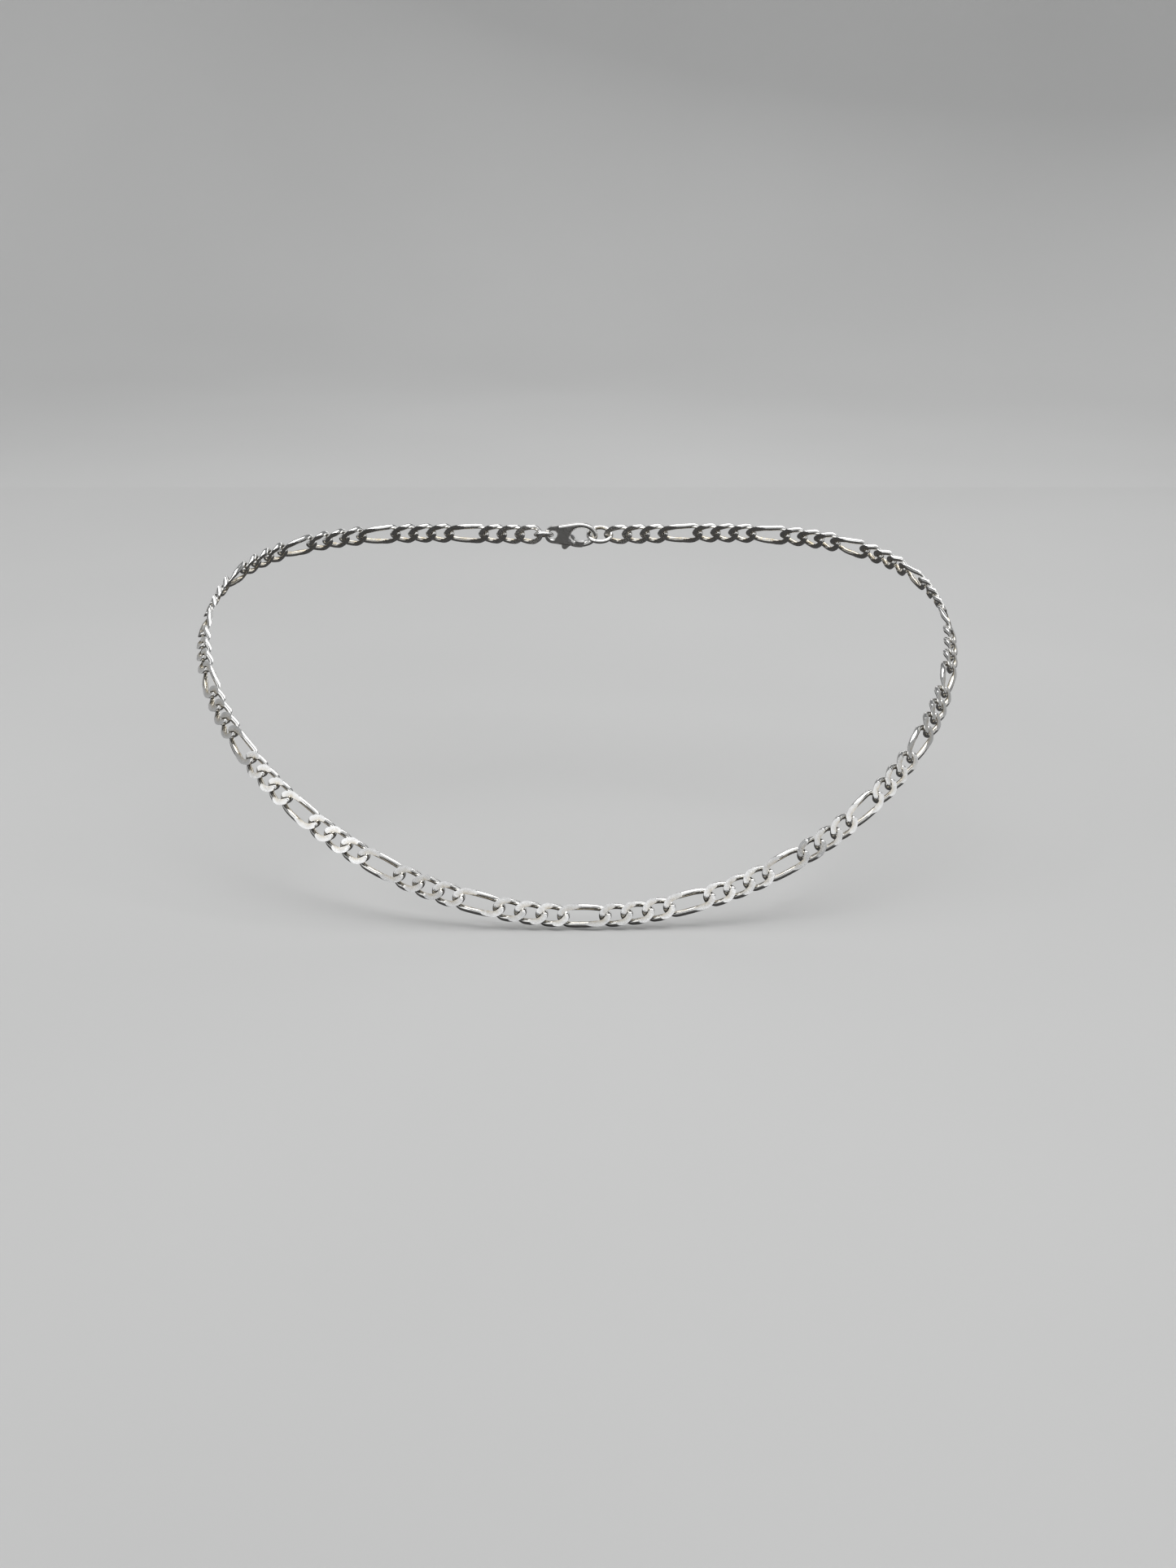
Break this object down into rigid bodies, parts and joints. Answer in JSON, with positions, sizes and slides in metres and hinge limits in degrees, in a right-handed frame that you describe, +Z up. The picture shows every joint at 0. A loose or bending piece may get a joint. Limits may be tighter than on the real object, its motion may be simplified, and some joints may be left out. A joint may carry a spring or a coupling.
{
  "type": "chain necklace",
  "caption": "Figaro chain necklace of flat twisted oval links, one long after a row of short ones, closed at the nape by a sprung lobster clasp.",
  "frame": {"origin": "middle of the long link at the front, the lowest point of the worn chain", "axes": "+X to the viewer's right along the front link, +Y from the throat to the nape, +Z up"},
  "size_m": [0.1776, 0.1316, 0.0626],
  "materials": {
    "long_links": "polished sterling silver, faces ground flat",
    "short_links": "polished sterling silver, faces ground flat",
    "rings": "polished sterling silver wire",
    "clasp": "cast sterling silver, tumbled bright",
    "lever": "cast sterling silver, tumbled bright",
    "pin": "steel rivet, dressed flush",
    "spring": "spring steel leaf"
  },
  "bodies": {
    "front": {"long_link_front": "long_links"},
    "short_links_left_1": {"short_links_left_1": "short_links"},
    "short_links_right_1": {"short_links_right_1": "short_links"},
    "long_link_left_1": {"long_link_left_1": "long_links"},
    "long_link_right_1": {"long_link_right_1": "long_links"},
    "short_links_left_2": {"short_links_left_2": "short_links"},
    "short_links_right_2": {"short_links_right_2": "short_links"},
    "long_link_left_2": {"long_link_left_2": "long_links"},
    "long_link_right_2": {"long_link_right_2": "long_links"},
    "short_links_left_3": {"short_links_left_3": "short_links"},
    "short_links_right_3": {"short_links_right_3": "short_links"},
    "long_link_left_3": {"long_link_left_3": "long_links"},
    "long_link_right_3": {"long_link_right_3": "long_links"},
    "short_links_left_4": {"short_links_left_4": "short_links"},
    "short_links_right_4": {"short_links_right_4": "short_links"},
    "long_link_left_4": {"long_link_left_4": "long_links"},
    "long_link_right_4": {"long_link_right_4": "long_links"},
    "short_links_left_5": {"short_links_left_5": "short_links"},
    "short_links_right_5": {"short_links_right_5": "short_links"},
    "long_link_left_5": {"long_link_left_5": "long_links"},
    "long_link_right_5": {"long_link_right_5": "long_links"},
    "short_links_left_6": {"short_links_left_6": "short_links"},
    "short_links_right_6": {"short_links_right_6": "short_links"},
    "long_link_left_6": {"long_link_left_6": "long_links"},
    "long_link_right_6": {"long_link_right_6": "long_links"},
    "short_links_left_7": {"short_links_left_7": "short_links"},
    "short_links_right_7": {"short_links_right_7": "short_links"},
    "long_link_left_7": {"long_link_left_7": "long_links"},
    "long_link_right_7": {"long_link_right_7": "long_links"},
    "short_links_left_8": {"short_links_left_8": "short_links"},
    "short_links_right_8": {"short_links_right_8": "short_links"},
    "long_link_left_8": {"long_link_left_8": "long_links"},
    "long_link_right_8": {"long_link_right_8": "long_links"},
    "short_links_left_9": {"short_links_left_9": "short_links"},
    "short_links_right_9": {"short_links_right_9": "short_links"},
    "long_link_left_9": {"long_link_left_9": "long_links"},
    "long_link_right_9": {"long_link_right_9": "long_links"},
    "short_links_left_10": {"short_links_left_10": "short_links"},
    "short_links_right_10": {"short_links_right_10": "short_links"},
    "long_link_left_10": {"long_link_left_10": "long_links"},
    "long_link_right_10": {"long_link_right_10": "long_links"},
    "short_links_left_11": {"short_links_left_11": "short_links"},
    "short_links_right_11": {"short_links_right_11": "short_links"},
    "clasp_ring": {"clasp_ring": "rings"},
    "end_ring": {"end_ring": "rings"},
    "clasp": {"clasp_body": "clasp", "lever_pin": "pin", "lever_spring": "spring"},
    "clasp_lever": {"clasp_lever": "lever"}
  },
  "joints": [
    {"name": "fold_right_1", "type": "hinge", "parent": "front", "child": "short_links_right_1", "pos_m": [0.00445, 0.00007, 0.00009], "axis": [1, 0, 0], "range_deg": [0, 7]},
    {"name": "fold_left_1", "type": "hinge", "parent": "front", "child": "short_links_left_1", "pos_m": [-0.00445, 0.00007, 0.00009], "axis": [1, 0, 0], "range_deg": [0, 7]},
    {"name": "fold_right_2", "type": "hinge", "parent": "short_links_right_1", "child": "long_link_right_1", "pos_m": [0.01812, 0.00111, 0.00155], "axis": [1, 0, 0], "range_deg": [0, 7]},
    {"name": "fold_left_2", "type": "hinge", "parent": "short_links_left_1", "child": "long_link_left_1", "pos_m": [-0.01812, 0.00111, 0.00155], "axis": [1, 0, 0], "range_deg": [0, 7]},
    {"name": "fold_right_3", "type": "hinge", "parent": "long_link_right_1", "child": "short_links_right_2", "pos_m": [0.02671, 0.00251, 0.00337], "axis": [1, 0, 0], "range_deg": [0, 7]},
    {"name": "fold_left_3", "type": "hinge", "parent": "long_link_left_1", "child": "short_links_left_2", "pos_m": [-0.02671, 0.00251, 0.00337], "axis": [1, 0, 0], "range_deg": [0, 7]},
    {"name": "fold_right_4", "type": "hinge", "parent": "short_links_right_2", "child": "long_link_right_2", "pos_m": [0.03946, 0.00593, 0.00735], "axis": [1, 0, 0], "range_deg": [0, 7]},
    {"name": "fold_left_4", "type": "hinge", "parent": "short_links_left_2", "child": "long_link_left_2", "pos_m": [-0.03946, 0.00593, 0.00735], "axis": [1, 0, 0], "range_deg": [0, 7]},
    {"name": "fold_right_5", "type": "hinge", "parent": "long_link_right_2", "child": "short_links_right_3", "pos_m": [0.04717, 0.00901, 0.01054], "axis": [1, 0, 0], "range_deg": [0, 7]},
    {"name": "fold_left_5", "type": "hinge", "parent": "long_link_left_2", "child": "short_links_left_3", "pos_m": [-0.04717, 0.00901, 0.01054], "axis": [1, 0, 0], "range_deg": [0, 7]},
    {"name": "fold_right_6", "type": "hinge", "parent": "short_links_right_3", "child": "long_link_right_3", "pos_m": [0.05813, 0.0152, 0.01617], "axis": [1, 0, 0], "range_deg": [0, 7]},
    {"name": "fold_left_6", "type": "hinge", "parent": "short_links_left_3", "child": "long_link_left_3", "pos_m": [-0.05813, 0.0152, 0.01617], "axis": [1, 0, 0], "range_deg": [0, 7]},
    {"name": "fold_right_7", "type": "hinge", "parent": "long_link_right_3", "child": "short_links_right_4", "pos_m": [0.06443, 0.02009, 0.0201], "axis": [1, 0, 0], "range_deg": [0, 7]},
    {"name": "fold_left_7", "type": "hinge", "parent": "long_link_left_3", "child": "short_links_left_4", "pos_m": [-0.06443, 0.02009, 0.0201], "axis": [1, 0, 0], "range_deg": [0, 7]},
    {"name": "fold_right_8", "type": "hinge", "parent": "short_links_right_4", "child": "long_link_right_4", "pos_m": [0.07288, 0.02897, 0.02641], "axis": [1, 0, 0], "range_deg": [0, 7]},
    {"name": "fold_left_8", "type": "hinge", "parent": "short_links_left_4", "child": "long_link_left_4", "pos_m": [-0.07288, 0.02897, 0.02641], "axis": [1, 0, 0], "range_deg": [0, 7]},
    {"name": "fold_right_9", "type": "hinge", "parent": "long_link_right_4", "child": "short_links_right_5", "pos_m": [0.07739, 0.03546, 0.03049], "axis": [1, 0, 0], "range_deg": [0, 7]},
    {"name": "fold_left_9", "type": "hinge", "parent": "long_link_left_4", "child": "short_links_left_5", "pos_m": [-0.07739, 0.03546, 0.03049], "axis": [1, 0, 0], "range_deg": [0, 7]},
    {"name": "fold_right_10", "type": "hinge", "parent": "short_links_right_5", "child": "long_link_right_5", "pos_m": [0.08283, 0.04654, 0.03663], "axis": [1, 0, 0], "range_deg": [0, 7]},
    {"name": "fold_left_10", "type": "hinge", "parent": "short_links_left_5", "child": "long_link_left_5", "pos_m": [-0.08283, 0.04654, 0.03663], "axis": [1, 0, 0], "range_deg": [0, 7]},
    {"name": "fold_right_11", "type": "hinge", "parent": "long_link_right_5", "child": "short_links_right_6", "pos_m": [0.08524, 0.05424, 0.04037], "axis": [1, 0, 0], "range_deg": [0, 7]},
    {"name": "fold_left_11", "type": "hinge", "parent": "long_link_left_5", "child": "short_links_left_6", "pos_m": [-0.08524, 0.05424, 0.04037], "axis": [1, 0, 0], "range_deg": [0, 7]},
    {"name": "fold_right_12", "type": "hinge", "parent": "short_links_right_6", "child": "long_link_right_6", "pos_m": [0.08706, 0.06683, 0.04565], "axis": [1, 0, 0], "range_deg": [0, 7]},
    {"name": "fold_left_12", "type": "hinge", "parent": "short_links_left_6", "child": "long_link_left_6", "pos_m": [-0.08706, 0.06683, 0.04565], "axis": [1, 0, 0], "range_deg": [0, 7]},
    {"name": "fold_right_13", "type": "hinge", "parent": "long_link_right_6", "child": "short_links_right_7", "pos_m": [0.08683, 0.07521, 0.04863], "axis": [1, 0, 0], "range_deg": [0, 7]},
    {"name": "fold_left_13", "type": "hinge", "parent": "long_link_left_6", "child": "short_links_left_7", "pos_m": [-0.08683, 0.07521, 0.04863], "axis": [1, 0, 0], "range_deg": [0, 7]},
    {"name": "fold_right_14", "type": "hinge", "parent": "short_links_right_7", "child": "long_link_right_7", "pos_m": [0.08399, 0.08813, 0.05245], "axis": [1, 0, 0], "range_deg": [0, 7]},
    {"name": "fold_left_14", "type": "hinge", "parent": "short_links_left_7", "child": "long_link_left_7", "pos_m": [-0.08399, 0.08813, 0.05245], "axis": [1, 0, 0], "range_deg": [0, 7]},
    {"name": "fold_right_15", "type": "hinge", "parent": "long_link_right_7", "child": "short_links_right_8", "pos_m": [0.08044, 0.09605, 0.05434], "axis": [1, 0, 0], "range_deg": [0, 7]},
    {"name": "fold_left_15", "type": "hinge", "parent": "long_link_left_7", "child": "short_links_left_8", "pos_m": [-0.08044, 0.09605, 0.05434], "axis": [1, 0, 0], "range_deg": [0, 7]},
    {"name": "fold_right_16", "type": "hinge", "parent": "short_links_right_8", "child": "long_link_right_8", "pos_m": [0.07235, 0.10699, 0.05638], "axis": [1, 0, 0], "range_deg": [0, 7]},
    {"name": "fold_left_16", "type": "hinge", "parent": "short_links_left_8", "child": "long_link_left_8", "pos_m": [-0.07235, 0.10699, 0.05638], "axis": [1, 0, 0], "range_deg": [0, 7]},
    {"name": "fold_right_17", "type": "hinge", "parent": "long_link_right_8", "child": "short_links_right_9", "pos_m": [0.06567, 0.11281, 0.05714], "axis": [1, 0, 0], "range_deg": [0, 7]},
    {"name": "fold_left_17", "type": "hinge", "parent": "long_link_left_8", "child": "short_links_left_9", "pos_m": [-0.06567, 0.11281, 0.05714], "axis": [1, 0, 0], "range_deg": [0, 7]},
    {"name": "fold_right_18", "type": "hinge", "parent": "short_links_right_9", "child": "long_link_right_9", "pos_m": [0.05368, 0.11956, 0.0576], "axis": [1, 0, 0], "range_deg": [0, 7]},
    {"name": "fold_left_18", "type": "hinge", "parent": "short_links_left_9", "child": "long_link_left_9", "pos_m": [-0.05368, 0.11956, 0.0576], "axis": [1, 0, 0], "range_deg": [0, 7]},
    {"name": "fold_right_19", "type": "hinge", "parent": "long_link_right_9", "child": "short_links_right_10", "pos_m": [0.04529, 0.12249, 0.05753], "axis": [1, 0, 0], "range_deg": [0, 7]},
    {"name": "fold_left_19", "type": "hinge", "parent": "long_link_left_9", "child": "short_links_left_10", "pos_m": [-0.04529, 0.12249, 0.05753], "axis": [1, 0, 0], "range_deg": [0, 7]},
    {"name": "fold_right_20", "type": "hinge", "parent": "short_links_right_10", "child": "long_link_right_10", "pos_m": [0.03178, 0.12522, 0.05713], "axis": [1, 0, 0], "range_deg": [0, 7]},
    {"name": "fold_left_20", "type": "hinge", "parent": "short_links_left_10", "child": "long_link_left_10", "pos_m": [-0.03178, 0.12522, 0.05713], "axis": [1, 0, 0], "range_deg": [0, 7]},
    {"name": "fold_right_21", "type": "hinge", "parent": "long_link_right_10", "child": "short_links_right_11", "pos_m": [0.02293, 0.12612, 0.05681], "axis": [1, 0, 0], "range_deg": [0, 7]},
    {"name": "fold_left_21", "type": "hinge", "parent": "long_link_left_10", "child": "short_links_left_11", "pos_m": [-0.02293, 0.12612, 0.05681], "axis": [1, 0, 0], "range_deg": [0, 7]},
    {"name": "fold_right_22", "type": "hinge", "parent": "short_links_right_11", "child": "end_ring", "pos_m": [0.00915, 0.12672, 0.05645], "axis": [1, 0, 0], "range_deg": [0, 7]},
    {"name": "fold_left_22", "type": "hinge", "parent": "short_links_left_11", "child": "clasp_ring", "pos_m": [-0.00915, 0.12672, 0.05645], "axis": [1, 0, 0], "range_deg": [0, 7]},
    {"name": "clasp_swivel", "type": "hinge", "parent": "clasp_ring", "child": "clasp", "pos_m": [-0.00605, 0.12677, 0.0564], "axis": [1, 0.0017, -0.0015], "range_deg": [-2, 10], "stiffness_Nm_per_rad": 0.0005},
    {"name": "lever_hinge", "type": "hinge", "parent": "clasp", "child": "clasp_lever", "pos_m": [-0.00093, 0.12679, 0.05509], "axis": [0.0017, -1, -0.0091], "range_deg": [0, 25], "stiffness_Nm_per_rad": 0.002, "springref_deg": -8.59, "deforming": ["lever_spring"]}
  ],
  "couplings": [
    {"joint": "fold_left_1", "follows": "fold_right_1", "ratio": 1},
    {"joint": "fold_left_2", "follows": "fold_right_2", "ratio": 1},
    {"joint": "fold_left_3", "follows": "fold_right_3", "ratio": 1},
    {"joint": "fold_left_4", "follows": "fold_right_4", "ratio": 1},
    {"joint": "fold_left_5", "follows": "fold_right_5", "ratio": 1},
    {"joint": "fold_left_6", "follows": "fold_right_6", "ratio": 1},
    {"joint": "fold_left_7", "follows": "fold_right_7", "ratio": 1},
    {"joint": "fold_left_8", "follows": "fold_right_8", "ratio": 1},
    {"joint": "fold_left_9", "follows": "fold_right_9", "ratio": 1},
    {"joint": "fold_left_10", "follows": "fold_right_10", "ratio": 1},
    {"joint": "fold_left_11", "follows": "fold_right_11", "ratio": 1},
    {"joint": "fold_left_12", "follows": "fold_right_12", "ratio": 1},
    {"joint": "fold_left_13", "follows": "fold_right_13", "ratio": 1},
    {"joint": "fold_left_14", "follows": "fold_right_14", "ratio": 1},
    {"joint": "fold_left_15", "follows": "fold_right_15", "ratio": 1},
    {"joint": "fold_left_16", "follows": "fold_right_16", "ratio": 1},
    {"joint": "fold_left_17", "follows": "fold_right_17", "ratio": 1},
    {"joint": "fold_left_18", "follows": "fold_right_18", "ratio": 1},
    {"joint": "fold_left_19", "follows": "fold_right_19", "ratio": 1},
    {"joint": "fold_left_20", "follows": "fold_right_20", "ratio": 1},
    {"joint": "fold_left_21", "follows": "fold_right_21", "ratio": 1},
    {"joint": "fold_right_22", "follows": "fold_left_22", "ratio": 1}
  ]
}
